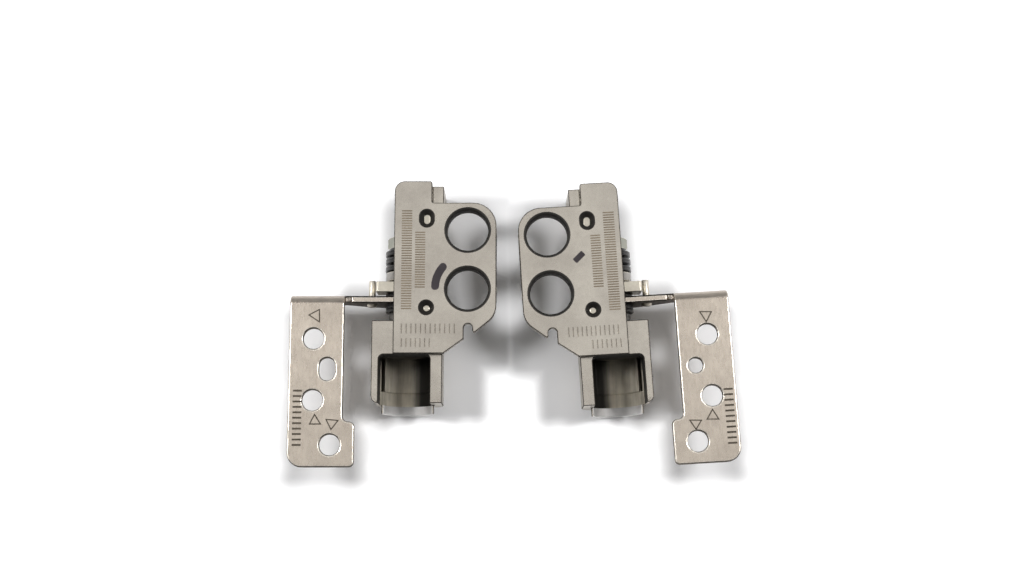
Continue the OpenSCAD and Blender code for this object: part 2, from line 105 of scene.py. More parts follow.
def metalFinish(name, look):
    # Satin metal: a broad mottle and a fine grain change the colour, the same grain changes the
    # roughness, and a still finer one raises the surface. Grain is stretched along one axis.
    finish = bpy.data.materials.new(name)
    finish.use_nodes = True
    tree = finish.node_tree
    shader = tree.nodes["Principled BSDF"]
    place = addNode(tree, "ShaderNodeTexCoord")
    brush = addNode(tree, "ShaderNodeMapping",
        {"Vector": place.outputs["Object"], "Scale": look["brush"]})
    mottle = addNode(tree, "ShaderNodeTexNoise", {"Vector": place.outputs["Object"],
        "Scale": look["mottleScale"], "Detail": 4.0, "Roughness": 0.6})
    grain = addNode(tree, "ShaderNodeTexNoise", {"Vector": brush.outputs["Vector"],
        "Scale": look["grainScale"], "Detail": 6.0, "Roughness": 0.65})
    specks = addNode(tree, "ShaderNodeTexNoise", {"Vector": place.outputs["Object"],
        "Scale": look["grainScale"] * look["speckShare"], "Detail": 2.0, "Roughness": 0.5})
    broad = addNode(tree, "ShaderNodeMapRange",
        {"Value": mottle.outputs["Fac"], "From Min": 0.3, "From Max": 0.7})
    mixed = addNode(tree, "ShaderNodeMix", {"Factor": broad.outputs["Result"],
        colourA: (*look["colour"], 1), colourB: (*look["mottleColour"], 1)}, data_type="RGBA")
    fine = addNode(tree, "ShaderNodeMapRange", {"Value": grain.outputs["Fac"],
        "From Min": 0.25, "From Max": 0.75,
        "To Min": 1 - look["grainDepth"], "To Max": 1 + look["grainDepth"]})
    shade = fine.outputs["Result"]
    # some finishes multiply their colour by a mesh attribute that holds painted light and shade
    if look.get("toned"):
        paintedTroughShading = addNode(tree, "ShaderNodeAttribute", attribute_name="paintedTroughShading")
        shade = mathOf(tree, "MULTIPLY", shade, paintedTroughShading.outputs["Fac"])
    toned = addNode(tree, "ShaderNodeMix",
        {"Factor": 1, colourA: mixed.outputs[colourOut], colourB: shade},
        data_type="RGBA", blend_type="MULTIPLY")
    tree.links.new(toned.outputs[colourOut], shader.inputs["Base Color"])
    rough = addNode(tree, "ShaderNodeMapRange", {"Value": grain.outputs["Fac"],
        "From Min": 0.25, "From Max": 0.75,
        "To Min": look["roughness"] - look["roughnessSpread"],
        "To Max": look["roughness"] + look["roughnessSpread"]})
    tree.links.new(rough.outputs["Result"], shader.inputs["Roughness"])
    bump = addNode(tree, "ShaderNodeBump", {"Height": specks.outputs["Fac"], "Strength": look["bump"],
        "Distance": look["bumpHeight"]})
    tree.links.new(bump.outputs["Normal"], shader.inputs["Normal"])
    shader.inputs["Metallic"].default_value = look["metallic"]
    shader.inputs["Specular IOR Level"].default_value = look["specular"]
    return finish


# what a finish has unless its own look says otherwise
plainGrain = {"brush": (1, 1, 1), "mottleScale": 260.0, "grainScale": 2600.0, "grainDepth": 0.08,
    "speckShare": 2.7, "roughness": 0.42, "roughnessSpread": 0.06, "bump": 0.35, "bumpHeight": 2e-5,
    "metallic": 1.0, "specular": 0.5}
finishLooks = {
    "castSkin": {"colour": (0.56, 0.52, 0.455), "mottleColour": (0.41, 0.375, 0.33), "mottleScale": 130.0,
        "roughness": 0.28},
    # painted shade: the casting's rounds are a near-black copy of its metal
    "castEdgeShade": {"colour": (0.075, 0.066, 0.055), "mottleColour": (0.045, 0.04, 0.034), "roughness": 0.62},
    # painted shade: a darker copy of the cast metal for upright faces
    "castFlankShade": {"colour": (0.48, 0.45, 0.40), "mottleColour": (0.36, 0.33, 0.29), "roughness": 0.4},
    # painted shade: a near-black copy of the metal for the walls of holes, sockets and the window
    "holeShade": {"colour": (0.035, 0.032, 0.028), "mottleColour": (0.02, 0.018, 0.016), "roughness": 0.65,
        "metallic": 0.5},
    "troughSkin": {"colour": (0.62, 0.565, 0.46), "mottleColour": (0.42, 0.38, 0.31), "brush": (1, 0.06, 1),
        "grainScale": 1500.0, "grainDepth": 0.3, "roughness": 0.6, "metallic": 0.0, "specular": 0.1,
        "toned": True},
    # painted light: the lip, part of the casting, is a paler copy of its metal
    "lipPaintedLight": {"colour": (0.64, 0.63, 0.62), "mottleColour": (0.52, 0.51, 0.50), "roughness": 0.6},
    "sheetSkin": {"colour": (0.60, 0.53, 0.45), "mottleColour": (0.49, 0.43, 0.365), "brush": (1, 0.25, 1),
        "roughness": 0.28},
    # painted highlight on the upper part of the bracket's rounds
    "sheetEdgeHighlight": {"colour": (0.86, 0.80, 0.71), "mottleColour": (0.72, 0.66, 0.58), "roughness": 0.34},
    # painted shade on the lower part of the bracket's rounds and on its upright faces
    "sheetFlankShade": {"colour": (0.14, 0.12, 0.10), "mottleColour": (0.08, 0.07, 0.06), "roughness": 0.45},
    # painted shade: a darker copy of the sheet for the bend
    "bendShade": {"colour": (0.46, 0.41, 0.355), "mottleColour": (0.355, 0.315, 0.275), "brush": (0.3, 1, 1),
        "roughness": 0.36},
    # the pale colour of the plated washers, which the sockets' floors also take as a painted reflection
    "paleWasherAndSocketSheen": {"colour": (0.62, 0.58, 0.49), "mottleColour": (0.48, 0.44, 0.37), "roughness": 0.33},
    "washerFlank": {"colour": (0.29, 0.275, 0.255), "mottleColour": (0.20, 0.19, 0.175), "roughness": 0.36},
    "nutSkin": {"colour": (0.33, 0.33, 0.28), "mottleColour": (0.23, 0.23, 0.195), "roughness": 0.4},
    "blackSkin": {"colour": (0.030, 0.029, 0.028), "mottleColour": (0.014, 0.014, 0.014), "roughness": 0.32,
        "metallic": 0.6},
    "blackEdge": {"colour": (0.07, 0.067, 0.064), "mottleColour": (0.03, 0.03, 0.03), "roughness": 0.3,
        "metallic": 0.9},
    "shaftSkin": {"colour": (0.11, 0.105, 0.095), "mottleColour": (0.06, 0.057, 0.052), "brush": (1, 6, 1),
        "roughness": 0.28},
    "pinSkin": {"colour": (0.66, 0.62, 0.54), "mottleColour": (0.50, 0.46, 0.40), "roughness": 0.42},
    "inkSkin": {"colour": (0.034, 0.028, 0.032), "mottleColour": (0.060, 0.051, 0.056), "roughness": 0.7,
        "metallic": 0.0, "specular": 0.25},
    "etchedSkin": {"colour": (0.15, 0.115, 0.078), "mottleColour": (0.26, 0.21, 0.15), "roughness": 0.6,
        "metallic": 0.4},
    # painted shade in the leaf's stamped grooves
    "stampShade": {"colour": (0.06, 0.048, 0.036), "mottleColour": (0.12, 0.10, 0.075), "roughness": 0.5,
        "metallic": 0.7},
    # painted shade in the plate's stamped dents
    "dentShade": {"colour": (0.33, 0.30, 0.26), "mottleColour": (0.24, 0.215, 0.185), "roughness": 0.4}}
finishes = {name: metalFinish(name, {**plainGrain, **look}) for name, look in finishLooks.items()}
print("finishes made")


def finishPiece(piece, body, replaced=()):
    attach(piece, body)
    if replaced:
        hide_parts(*replaced)
    return piece


def newPiece(name, side, points, faces, finish, body):
    # points are in the hinge's axes and mm; the right hinge is a mirror image, so its faces turn round
    mesh = bpy.data.meshes.new(name)
    if hinges[side]["flip"] < 0:
        faces = [tuple(reversed(face)) for face in faces]
    faces = [tuple(map(int, face)) for face in faces]
    mesh.from_pydata((toRow(side, points) / perMetre).tolist(), [], faces)
    mesh.materials.append(finish)
    mesh.update()
    piece = bpy.data.objects.new(side + "_" + name, mesh)
    scene.collection.objects.link(piece)
    return finishPiece(piece, body)


def evaluated(piece):
    graph = bpy.context.evaluated_depsgraph_get()
    return bpy.data.meshes.new_from_object(piece.evaluated_get(graph), preserve_all_data_layers=True,
        depsgraph=graph)


# every rounded copy has its plain faces in the first finish and its rounds in the second
skinSlot, edgeSlot = 0, 1
flatLook = {"sameTurn": radians(0.4), "softTurn": radians(25), "narrow": 0.6, "few": 4}


def refilledFlats(solid):
    # Faces that touch and lie in one plane are one flat, unless they are a narrow strip of a curved
    # wall. A flat gets a number; one of many faces is filled again between its outlines.
    flatOf = solid.faces.layers.int.new("flat")
    seen = set()
    flats = []
    for first in solid.faces:
        if first in seen or first.material_index == edgeSlot:
            continue
        seen.add(first)
        flat, soft, at = [first], False, 0
        while at < len(flat):
            face = flat[at]
            at += 1
            for side in face.edges:
                for other in side.link_faces:
                    if other is face or other.material_index != first.material_index:
                        continue
                    turn = other.normal.angle(first.normal, radians(180))
                    if turn < flatLook["sameTurn"]:
                        if other not in seen:
                            seen.add(other)
                            flat.append(other)
                    elif turn < flatLook["softTurn"]:
                        soft = True
        area = sum(face.calc_area() for face in flat)
        longest = max(side.calc_length() for face in flat for side in face.edges)
        if not soft or area / longest > flatLook["narrow"]:
            flats.append(flat)
    for number, flat in enumerate(flats, 1):
        for face in flat:
            face[flatOf] = number
        if len(flat) <= flatLook["few"]:
            continue
        inside = set(flat)
        normal = sum((face.normal * face.calc_area() for face in flat), Vector()).normalized()
        material = flat[0].material_index
        # no sets from here on, because their order changes from run to run
        rim, inner = [], []
        for side in dict.fromkeys(side for face in flat for side in face.edges):
            onRim = sum(face in inside for face in side.link_faces) == 1
            (rim if onRim else inner).append(side)
        bmesh.ops.delete(solid, geom=flat, context="FACES_ONLY")
        for side in inner:
            solid.edges.remove(side)
        for face in bmesh.ops.triangle_fill(solid, use_beauty=True, edges=rim, normal=normal)["geom"]:
            if isinstance(face, bmesh.types.BMFace):
                if face.normal.dot(normal) < 0:
                    face.normal_flip()
                face.smooth = True
                face.material_index = material
                face[flatOf] = number
    loose = [vertex for vertex in solid.verts if not vertex.link_faces]
    bmesh.ops.delete(solid, geom=loose, context="VERTS")


sharpFrom = radians(40)
alike = 0.77  # two normals whose dot product is more than this turn into each other smoothly


def evenNormals(mesh):
    # A corner on the border of one flat takes the flat's normal, so that the flat stays flat and
    # the round beside it turns smoothly; other corners keep the smooth normal.
    corners, faceCount, vertexCount = len(mesh.loops), len(mesh.polygons), len(mesh.vertices)
    vertexOf, faceNormal = np.empty(corners, int), np.empty(faceCount * 3)
    starts, flatOf, smooth = np.empty(faceCount, int), np.empty(faceCount, int), np.empty(corners * 3)
    mesh.loops.foreach_get("vertex_index", vertexOf)
    mesh.polygons.foreach_get("normal", faceNormal)
    mesh.polygons.foreach_get("loop_start", starts)
    mesh.attributes["flat"].data.foreach_get("value", flatOf)
    mesh.corner_normals.foreach_get("vector", smooth)
    faceNormal, smooth = faceNormal.reshape(-1, 3), smooth.reshape(-1, 3)
    faceOf = np.searchsorted(starts, np.arange(corners), "right") - 1
    onFlat = flatOf[faceOf] > 0
    most, least = np.zeros(vertexCount, int), np.full(vertexCount, faceCount + 1)
    np.maximum.at(most, vertexOf[onFlat], flatOf[faceOf[onFlat]])
    np.minimum.at(least, vertexOf[onFlat], flatOf[faceOf[onFlat]])
    ofFlat = np.zeros((flatOf.max() + 1, 3))
    ofFlat[flatOf] = faceNormal
    lone = (most == least)[vertexOf]
    near = (faceNormal[faceOf] * ofFlat[most[vertexOf]]).sum(1) > alike
    smooth[lone & near] = ofFlat[most[vertexOf]][lone & near]
    smooth[onFlat] = ofFlat[flatOf[faceOf]][onFlat]
    mesh.normals_split_custom_set(smooth.tolist())


weldGap, mergeGap, splitGap = 0.002, 0.0005, 1e-5
sharpest = radians(32)  # an edge that turns less than this gets no round
strayShare, strayDepth = 0.5, 0.01


def strayPointsBack(solid, skin, reach):
    # a point that the bevel threw out of the solid goes back to its skin
    for vertex in solid.verts:
        place, normal, _, gap = skin.find_nearest(vertex.co)
        if gap > reach and (vertex.co - place).dot(normal) > -strayDepth:
            vertex.co = place


def addPaintedTroughShading(mesh, side, paintedTroughShading):
    # painted light and shade in the trough: darkest on its inner side, lighter across its middle, and a
    # painted shadow under the plate
    points = np.empty(len(mesh.vertices) * 3)
    mesh.vertices.foreach_get("co", points)
    x, y = toHinge(side, points.reshape(-1, 3)).T[:2]
    shade = np.interp(x, paintedTroughShading["x"], paintedTroughShading["across"]) * np.interp(y, paintedTroughShading["y"], paintedTroughShading["along"])
    mesh.attributes.new("paintedTroughShading", "FLOAT", "POINT").data.foreach_set("value", shade)


def pickFinishes(mesh, side, pick):
    count = len(mesh.polygons)
    centres, normals, index = np.empty(count * 3), np.empty(count * 3), np.empty(count, int)
    mesh.polygons.foreach_get("center", centres)
    mesh.polygons.foreach_get("normal", normals)
    mesh.polygons.foreach_get("material_index", index)
    centres = toHinge(side, centres.reshape(-1, 3))
    normals = normals.reshape(-1, 3) @ hinges[side]["axes"].T
    mesh.polygons.foreach_set("material_index", pick(centres, normals, index))


def roundedCopy(nodeName, side, look, pick=None, cutter=None):
    # The node's solid in mm: corners welded, each sharp edge given a round, and each flat filled
    # again. Rounds take the second finish, and pick gives the other faces theirs.
    mesh = nodes[nodeName].data.copy()
    mesh.transform(Matrix.Scale(perMetre, 4))
    mesh.materials.clear()
    for name in look["finishes"]:
        mesh.materials.append(finishes[name])
    solid = bmesh.new()
    solid.from_mesh(mesh)
    bmesh.ops.remove_doubles(solid, verts=solid.verts, dist=weldGap)
    for face in solid.faces:
        face.smooth = True
        face.material_index = skinSlot
    skin = BVHTree.FromBMesh(solid)
    solid.to_mesh(mesh)
    solid.free()
    for name in ("custom_normal", "sharp_face", "sharp_edge"):
        if name in mesh.attributes:
            mesh.attributes.remove(mesh.attributes[name])
    piece = bpy.data.objects.new("rounded_" + nodeName, mesh)
    scene.collection.objects.link(piece)
    bevel = piece.modifiers.new("roundedEdges", "BEVEL")
    bevel.width = look["round"]
    bevel.segments = look["steps"]
    bevel.limit_method = "ANGLE"
    bevel.angle_limit = sharpest
    bevel.material = edgeSlot
    bevel.use_clamp_overlap = False
    bevel.loop_slide = False
    bevel.miter_outer = "MITER_ARC"
    if cutter:
        stamp = piece.modifiers.new("stamps", "BOOLEAN")
        stamp.object = cutter
        stamp.operation = "DIFFERENCE"
        stamp.solver = "EXACT"
        stamp.material_mode = "TRANSFER"
    shaped = evaluated(piece)
    piece.modifiers.clear()
    if cutter:
        bpy.data.objects.remove(cutter)
    solid = bmesh.new()
    solid.from_mesh(shaped)
    strayPointsBack(solid, skin, strayShare * look["round"])
    bmesh.ops.remove_doubles(solid, verts=solid.verts, dist=mergeGap)
    for y in look.get("splits", ()):
        whole = [*solid.verts, *solid.edges, *solid.faces]
        bmesh.ops.bisect_plane(solid, geom=whole, dist=splitGap, plane_co=toRow(side, (0, y, 0)),
            plane_no=hinges[side]["axes"][1])
    refilledFlats(solid)
    solid.to_mesh(shaped)
    solid.free()
    if "paintedTroughShading" in look:
        addPaintedTroughShading(shaped, side, look["paintedTroughShading"])
    shaped.set_sharp_from_angle(angle=sharpFrom)
    evenNormals(shaped)
    if pick:
        pickFinishes(shaped, side, pick)
    shaped.transform(Matrix.Scale(1 / perMetre, 4))
    piece.data = shaped
    return piece


# stamps: shapes in the hinge's axes and mm, sunk into the plate and the leaf
plateTop = 4.75
leafTop = 4.55
stampDepth = 0.1
stampOver = 0.05  # a cutting shape stands out of the face by this
stampWidth = 0.19
grooveHalf = {"head": 0.5, "foot": 0.3}  # half a groove's width, as shares of stampWidth
triangles = {
    "left": [[(-13.90, 0.60), (-12.42, 1.40), (-12.38, -0.40)],
        [(-12.79, -13.56), (-13.47, -14.90), (-11.92, -14.90)],
        [(-11.16, -14.26), (-9.47, -14.40), (-10.43, -15.67)]],
    "right": [[(-12.35, 0.49), (-14.0, 0.39), (-13.17, -1.0)],
        [(-9.70, -14.82), (-11.33, -14.92), (-10.48, -16.15)],
        [(-13.01, -13.5), (-12.15, -14.82), (-13.78, -14.91)]]}
# rows of plain bars: their field, the way the row runs, how many, and the share of the pitch that is bar
leafRows = {
    "left": [{"x": (-15.93, -14.63), "y": (-17.99, -10.05), "along": "y", "count": 11, "share": 0.4}],
    "right": [{"x": (-16.13, -14.78), "y": (-18.5, -10.6), "along": "y", "count": 11, "share": 0.4}]}
plateRows = {
    "left": [{"x": (-0.82, 6.92), "y": (-2.1, -0.65), "along": "x", "count": 12, "share": 0.32},
        {"x": (-0.80, 3.39), "y": (-4.05, -2.75), "along": "x", "count": 7, "share": 0.32}],
    "right": [{"x": (-0.68, 6.57), "y": (-2.1, -0.65), "along": "x", "count": 12, "share": 0.32},
        {"x": (-0.93, 3.27), "y": (-3.95, -2.65), "along": "x", "count": 7, "share": 0.32}]}
etchedRows = {
    "left": [{"x": (-0.82, 0.67), "y": (1.41, 15.83), "along": "y", "count": 40, "share": 0.5},
        {"x": (1.12, 2.57), "y": (4.52, 12.67), "along": "y", "count": 23, "share": 0.5}],
    "right": [{"x": (-1.13, 0.47), "y": (1.45, 15.75), "along": "y", "count": 40, "share": 0.5},
        {"x": (1.04, 2.47), "y": (4.89, 12.5), "along": "y", "count": 21, "share": 0.5}]}


def barCentres(row):
    # centres and half sizes of the bars of one row, evenly spaced from one end of its field to the other
    along = 0 if row["along"] == "x" else 1
    field = np.array([row["x"], row["y"]], float)
    length = field[along, 1] - field[along, 0]
    pitch = length / (row["count"] - 1 + row["share"])
    centres = np.tile(field.mean(1), (row["count"], 1))
    centres[:, along] = field[along, 0] + pitch * (np.arange(row["count"]) + row["share"] / 2)
    half = (field[:, 1] - field[:, 0]) / 2
    half[along] = pitch * row["share"] / 2
    return centres, half


barSlope = 0.06  # a stamped bar is narrower by this at its foot, on each side


def prisms(centres, half, low, high, slope=0.0):
    # boxes on the given centres from low to high, their foot smaller by slope on each side
    corner = np.array([[-1, -1], [1, -1], [1, 1], [-1, 1]])
    foot = centres[:, None] + corner * (half - slope)
    head = centres[:, None] + corner * half
    points = np.concatenate([np.dstack([foot, np.full(foot.shape[:2], low)]),
        np.dstack([head, np.full(head.shape[:2], high)])], 1)
    box = np.array([[3, 2, 1, 0], [4, 5, 6, 7], [0, 1, 5, 4], [1, 2, 6, 5], [2, 3, 7, 6], [3, 0, 4, 7]])
    return points.reshape(-1, 3), (box + 8 * np.arange(len(centres))[:, None, None]).reshape(-1, 4)


def grooveRing(corners, top):
    # A closed groove along a triangle: the same narrow wedge lies on each corner's bisector, stretched
    # there by one over the cosine of half the turn, so that the groove keeps its width on the sides.
    corners = np.array(corners, float)
    first, second = corners[1] - corners[0], corners[2] - corners[0]
    if first[0] * second[1] - first[1] * second[0] < 0:
        corners = corners[::-1]
    before, after = corners - np.roll(corners, 1, 0), np.roll(corners, -1, 0) - corners
    before /= np.linalg.norm(before, axis=1)[:, None]
    after /= np.linalg.norm(after, axis=1)[:, None]
    outward = np.stack([before[:, 1] + after[:, 1], -before[:, 0] - after[:, 0]], 1)
    outward /= np.linalg.norm(outward, axis=1)[:, None]
    half = np.arccos(np.clip((before * after).sum(1), -1, 1)) / 2
    head, foot = grooveHalf["head"], grooveHalf["foot"]
    profile = np.array([[head, stampOver], [-head, stampOver], [-foot, -stampDepth], [foot, -stampDepth]])
    reach = profile[None, :, 0] * stampWidth / np.cos(half)[:, None]
    ring = np.empty((3, 4, 3))
    ring[..., :2] = corners[:, None] + outward[:, None] * reach[..., None]
    ring[..., 2] = top + profile[:, 1]
    a, b = np.meshgrid(np.arange(3), np.arange(4), indexing="ij")
    nextA, nextB = (a + 1) % 3, (b + 1) % 4
    faces = np.stack([a * 4 + b, a * 4 + nextB, nextA * 4 + nextB, nextA * 4 + b], -1)
    return ring.reshape(-1, 3), faces.reshape(-1, 4)


def stampCutter(side, shapes, finish):
    # several closed shapes in one mesh, in the row frame and mm, to be cut out of a node's copy
    points, faces, start = [], [], 0
    for shapePoints, shapeFaces in shapes:
        points.append(shapePoints)
        faces.append(shapeFaces + start)
        start += len(shapePoints)
    mesh = bpy.data.meshes.new("cutter")
    mesh.from_pydata(toRow(side, np.concatenate(points)).tolist(), [], np.concatenate(faces).tolist())
    solid = bmesh.new()
    solid.from_mesh(mesh)
    bmesh.ops.recalc_face_normals(solid, faces=solid.faces)
    solid.to_mesh(mesh)
    solid.free()
    mesh.materials.append(finish)
    cutter = bpy.data.objects.new("cutter", mesh)
    scene.collection.objects.link(cutter)
    return cutter


# base castings
castingLook = {"round": 0.12, "steps": 3,
    "finishes": ["castSkin", "castEdgeShade", "castFlankShade", "holeShade", "troughSkin", "paleWasherAndSocketSheen", "dentShade",
        "lipPaintedLight"],
    "splits": (-11.85, -9.5, -7.5, -5.8),
    # painted light and shade across and along the trough
    "paintedTroughShading": {"x": (-3.4, -1.6, -0.6, 0.2, 1.0, 1.7), "across": (0.75, 0.9, 1.6, 1.5, 0.25, 0.02),
        "y": (-8.2, -5.2), "along": (1, 0.35)},
    "stampDepth": 0.05, "upright": 0.6}
bigHoles = {"x": 8.65, "y": (4.38, 12.93), "radius": 3.5, "flat": 0.9995}
sockets = {"x": 2.77, "y": (1.68, 14.66), "radius": 1.35, "squeeze": 0.8, "low": 3, "flat": 0.9,
    "sunk": 0.4}
window = {"x": (-4.04, 3.34), "y": (-11.84, -4.88), "top": 4.6, "troughTop": 0.2}
lip = {"x": (-3.6, 3.6), "y": -11.84, "top": 0}


def slotNumbers(look):
    return {name: number for number, name in enumerate(look["finishes"])}


def within(values, bounds):
    return (values > bounds[0]) & (values < bounds[1])


def castingFinish(centres, normals, index):
    # painted shade: upright faces are a little darker, and hole walls, the sockets' cones and the window's
    # walls are nearly black; the sockets' floors are paler as a painted reflection, the lip is paler as
    # painted light, and the trough has its own finish with painted light and shade
    x, y, z = centres.T
    up = normals[:, 2]
    slot = slotNumbers(castingLook)
    index = np.where((index == skinSlot) & (np.abs(up) < castingLook["upright"]), slot["castFlankShade"], index)
    for holeY in bigHoles["y"]:
        inHole = np.hypot(x - bigHoles["x"], y - holeY) < bigHoles["radius"]
        index = np.where(inHole & (up < bigHoles["flat"]), slot["holeShade"], index)
    for socketY in sockets["y"]:
        away = np.hypot(x - sockets["x"], (y - socketY) * sockets["squeeze"])
        inSocket = (away < sockets["radius"]) & (z > sockets["low"])
        # painted reflection: the sockets' floors take the pale washer colour
        onSocketFloor = inSocket & (z < plateTop - sockets["sunk"])
        index = np.where(onSocketFloor, slot["paleWasherAndSocketSheen"], index)
        index = np.where(inSocket & (up < sockets["flat"]), slot["holeShade"], index)
    inWindow = within(x, window["x"]) & within(y, window["y"]) & (z < window["top"])
    wallOrTrough = np.where(z > window["troughTop"], slot["holeShade"], slot["troughSkin"])
    index = np.where(inWindow, wallOrTrough, index)
    onLip = within(x, lip["x"]) & (y < lip["y"]) & (z < lip["top"])
    return np.where(onLip, slot["lipPaintedLight"], index)


for side in hinges:
    foot, head = plateTop - castingLook["stampDepth"], plateTop + stampOver
    bars = [prisms(*barCentres(row), foot, head, barSlope) for row in plateRows[side]]
    cutter = stampCutter(side, bars, finishes["dentShade"])
    piece = roundedCopy(side + "_base_casting", side, castingLook, castingFinish, cutter)
    finishPiece(piece, "base_pair", [side + "_base_casting"])
print("base castings made")

# display brackets with their stamped triangles and bars
bracketLook = {"round": 0.25, "steps": 4,
    "finishes": ["sheetSkin", "sheetEdgeHighlight", "sheetFlankShade", "bendShade", "stampShade"],
    "darkBelow": 0.7, "footBelow": 0.94, "footTurn": -0.3, "upright": 0.35}
bend = {"from": 2.45, "inner": -8, "up": 0.05}


def bracketFinish(centres, normals, index):
    # painted highlight on the upper part of each round, painted shade on its lower part and on the upright
    # faces; at the foot, which looks away from the light, more of the round takes the painted shade
    x, y = centres.T[:2]
    up = normals[:, 2]
    slot = slotNumbers(bracketLook)
    atFoot = normals[:, 1] < bracketLook["footTurn"]
    darkBelow = np.where(atFoot, bracketLook["footBelow"], bracketLook["darkBelow"])
    dark = (index == edgeSlot) & (up < darkBelow)
    dark |= (index == skinSlot) & (np.abs(up) < bracketLook["upright"])
    index = np.where(dark, slot["sheetFlankShade"], index)
    # painted shade on the bend's faces that look up
    onBend = (y > bend["from"]) & (x < bend["inner"]) & (up > bend["up"]) & (index != slot["stampShade"])
    return np.where(onBend, slot["bendShade"], index)


for side in hinges:
    shapes = [grooveRing(corners, leafTop) for corners in triangles[side]]
    for row in leafRows[side]:
        shapes.append(prisms(*barCentres(row), leafTop - stampDepth, leafTop + stampOver, barSlope))
    cutter = stampCutter(side, shapes, finishes["stampShade"])
    piece = roundedCopy(side + "_display_bracket", side, bracketLook, bracketFinish, cutter)
    finishPiece(piece, side + "_display", [side + "_display_bracket"])
print("display brackets made")

# the stack on each shaft
stackLooks = {
    "stop_plate": {"round": 0.08, "finishes": ["paleWasherAndSocketSheen", "paleWasherAndSocketSheen"], "slot": "plated_washer"},
    "seat_washer": {"round": 0.08, "finishes": ["washerFlank", "paleWasherAndSocketSheen"], "slot": "plated_washer"},
    "lock_nut": {"round": 0.06, "finishes": ["nutSkin", "paleWasherAndSocketSheen"], "slot": "nut_steel"},
    "stop_pin": {"round": 0.06, "finishes": ["pinSkin", "pinSkin"], "slot": "pin_steel"},
    "shaft": {"round": 0.05, "finishes": ["shaftSkin", "shaftSkin"], "slot": "shaft_steel"}}
for part in ("friction_washer_1", "friction_washer_2", "friction_washer_3", "spacer_washer", "nut_washer"):
    stackLooks[part] = {"round": 0.06, "finishes": ["blackSkin", "blackEdge"], "slot": "black_washer"}
for number in range(1, 7):
    stackLooks["disc_spring_%d" % number] = {"round": 0.05, "finishes": ["blackSkin", "blackEdge"],
        "slot": "spring_steel"}
for side in hinges:
    for part, look in stackLooks.items():
        piece = roundedCopy(side + "_" + part, side, {"steps": 2, **look})
        body = side + "_display" if part == "stop_pin" else "base_pair"
        finishPiece(piece, body, [side + "_" + part])
print("stacks made")

# marks on the plates: ink strokes and etched ticks, thin closed prisms whose foot lies under the surface
markSunk, markRise = 0.02, 0.006
inkStrokes = {
    "left": {"middle": [(5.5, 7.95), (4.6, 6.75), (4.13, 5.5), (4.05, 4.2)], "width": 1.15, "ends": 10},
    "right": {"middle": [(4.95, 8.8), (3.6, 10.0)], "width": 0.85, "ends": 30}}


def strokeOutline(middle, width, ends, steps=36, endGap=0.01):
    # The middle line is a polynomial through its points, with steps that close up towards its ends. Both
    # edges lie half the width beside it, times the root of one less the distance from the middle raised
    # to a power, which rounds the ends.
    middle = np.array(middle, float)
    knots = np.linspace(0, 1, len(middle))
    t = 0.5 - 0.5 * np.cos(np.pi * np.linspace(endGap, 1 - endGap, steps))
    curves = [np.polyfit(knots, middle[:, i], len(middle) - 1) for i in (0, 1)]
    line = np.stack([np.polyval(curve, t) for curve in curves], 1)
    ahead = np.gradient(line, axis=0)
    ahead /= np.linalg.norm(ahead, axis=1)[:, None]
    full = np.sqrt(1 - np.abs(2 * t - 1) ** ends)
    beside = np.stack([-ahead[:, 1], ahead[:, 0]], 1) * (width / 2 * full)[:, None]
    return np.concatenate([line + beside, (line - beside)[::-1]])


def slab(outline, low, high):
    # a flat closed form between two heights, its outline turned anticlockwise first
    following = np.roll(outline, -1, 0)
    if np.sum(outline[:, 0] * following[:, 1] - outline[:, 1] * following[:, 0]) < 0:
        outline = outline[::-1]
    count = len(outline)
    step = np.arange(count)
    points = np.concatenate([np.column_stack([outline, np.full(count, z)]) for z in (low, high)])
    walls = np.stack([step, (step + 1) % count, count + (step + 1) % count, count + step], 1)
    return points, walls.tolist() + [step[::-1].tolist(), (step + count).tolist()]


for side in hinges:
    low, high = plateTop - markSunk, plateTop + markRise
    points, faces = slab(strokeOutline(**inkStrokes[side]), low, high)
    newPiece("inkStroke", side, points, faces, finishes["inkSkin"], "base_pair")
    for number, row in enumerate(etchedRows[side], 1):
        points, faces = prisms(*barCentres(row), low, high)
        newPiece("etchedTicks%d" % number, side, points, faces.tolist(), finishes["etchedSkin"],
            "base_pair")
print("marks made")

# table
floorSize = 0.9
corner = floorSize / 2
square = [(-corner, -corner, 0), (corner, -corner, 0), (corner, corner, 0), (-corner, corner, 0)]
floorMesh = bpy.data.meshes.new("table")
floorMesh.from_pydata(square, [], [(0, 1, 2, 3)])
floor = bpy.data.objects.new("table", floorMesh)
scene.collection.objects.link(floor)
paper = bpy.data.materials.new("paper")
paper.use_nodes = True
paperTree = paper.node_tree
paperShader = paperTree.nodes["Principled BSDF"]
paperShader.inputs["Base Color"].default_value = (0.92, 0.92, 0.93, 1)
paperShader.inputs["Roughness"].default_value = 0.9
paperShader.inputs["Specular IOR Level"].default_value = 0.0
paperShader.inputs["Emission Color"].default_value = (1, 1, 1, 1)
rays = addNode(paperTree, "ShaderNodeLightPath").outputs
shows = mathOf(paperTree, "ADD", rays["Is Camera Ray"], rays["Is Glossy Ray"])
shows = mathOf(paperTree, "ADD", shows, rays["Is Transmission Ray"])
